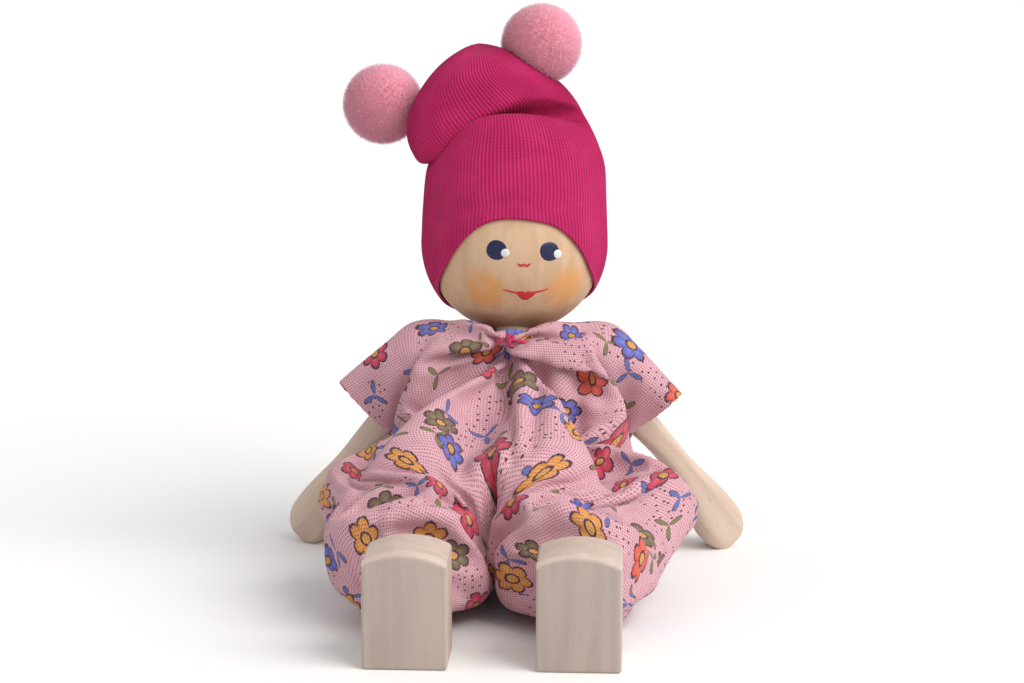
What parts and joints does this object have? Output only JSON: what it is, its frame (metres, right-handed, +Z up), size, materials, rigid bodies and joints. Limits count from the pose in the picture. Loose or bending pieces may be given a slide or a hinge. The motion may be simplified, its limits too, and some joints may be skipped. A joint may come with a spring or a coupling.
{
  "type": "miniature doll",
  "caption": "Seated jointed wooden miniature doll with a ball head, pinned arms and legs, block feet, a knit hat with pompoms and a gathered cotton romper.",
  "frame": {"origin": "bottom centre of the bounding box, on the floor that the doll sits on", "axes": "+Z up, the doll faces -Y, +X is the doll's own left"},
  "size_m": [0.065, 0.0704, 0.0772],
  "materials": {
    "beech": "sanded, unvarnished",
    "pin_steel": "plain steel",
    "magenta_knit": "fine rib knit",
    "pink_plush": "dense cut pile",
    "pink_cotton": "printed plain weave",
    "pink_thread": "sewing thread"
  },
  "bodies": {
    "torso": {"torso_block": "beech", "neck_dowel": "beech", "shoulder_pin_left": "pin_steel", "shoulder_pin_right": "pin_steel", "hip_pin_left": "pin_steel", "hip_pin_right": "pin_steel", "romper_bodice": "pink_cotton", "neck_thread": "pink_thread"},
    "head": {"head_ball": "beech", "knit_hat": "magenta_knit", "pompom_left": "pink_plush", "pompom_right": "pink_plush", "pompom_tie_left": "pink_thread", "pompom_tie_right": "pink_thread"},
    "arm_left": {"arm_left": "beech", "romper_sleeve_left": "pink_cotton"},
    "leg_left": {"leg_left": "beech", "foot_left": "beech", "foot_peg_left": "beech", "romper_trouser_left": "pink_cotton", "ankle_thread_left": "pink_thread"},
    "arm_right": {"arm_right": "beech", "romper_sleeve_right": "pink_cotton"},
    "leg_right": {"leg_right": "beech", "foot_right": "beech", "foot_peg_right": "beech", "romper_trouser_right": "pink_cotton", "ankle_thread_right": "pink_thread"}
  },
  "joints": [
    {"name": "neck_turn", "type": "hinge", "parent": "torso", "child": "head", "pos_m": [0, 0.01495, 0.03044], "axis": [0, 0.342, 0.9397], "range_deg": [-80, 80]},
    {"name": "shoulder_left", "type": "hinge", "parent": "torso", "child": "arm_left", "pos_m": [0.01016, 0.01391, 0.02757], "axis": [-0.7193, -0.2376, -0.6528], "range_deg": [-25, 120], "deforming": ["romper_sleeve_left"]},
    {"name": "shoulder_right", "type": "hinge", "parent": "torso", "child": "arm_right", "pos_m": [-0.01016, 0.01391, 0.02757], "axis": [-0.7193, 0.2376, 0.6528], "range_deg": [-25, 120], "deforming": ["romper_sleeve_right"]},
    {"name": "hip_left", "type": "hinge", "parent": "torso", "child": "leg_left", "pos_m": [0.0107, 0.00582, 0.00535], "axis": [1, 0, 0], "range_deg": [-15, 75], "deforming": ["romper_trouser_left"]},
    {"name": "hip_right", "type": "hinge", "parent": "torso", "child": "leg_right", "pos_m": [-0.0107, 0.00582, 0.00535], "axis": [1, 0, 0], "range_deg": [-15, 75], "deforming": ["romper_trouser_right"]}
  ]
}
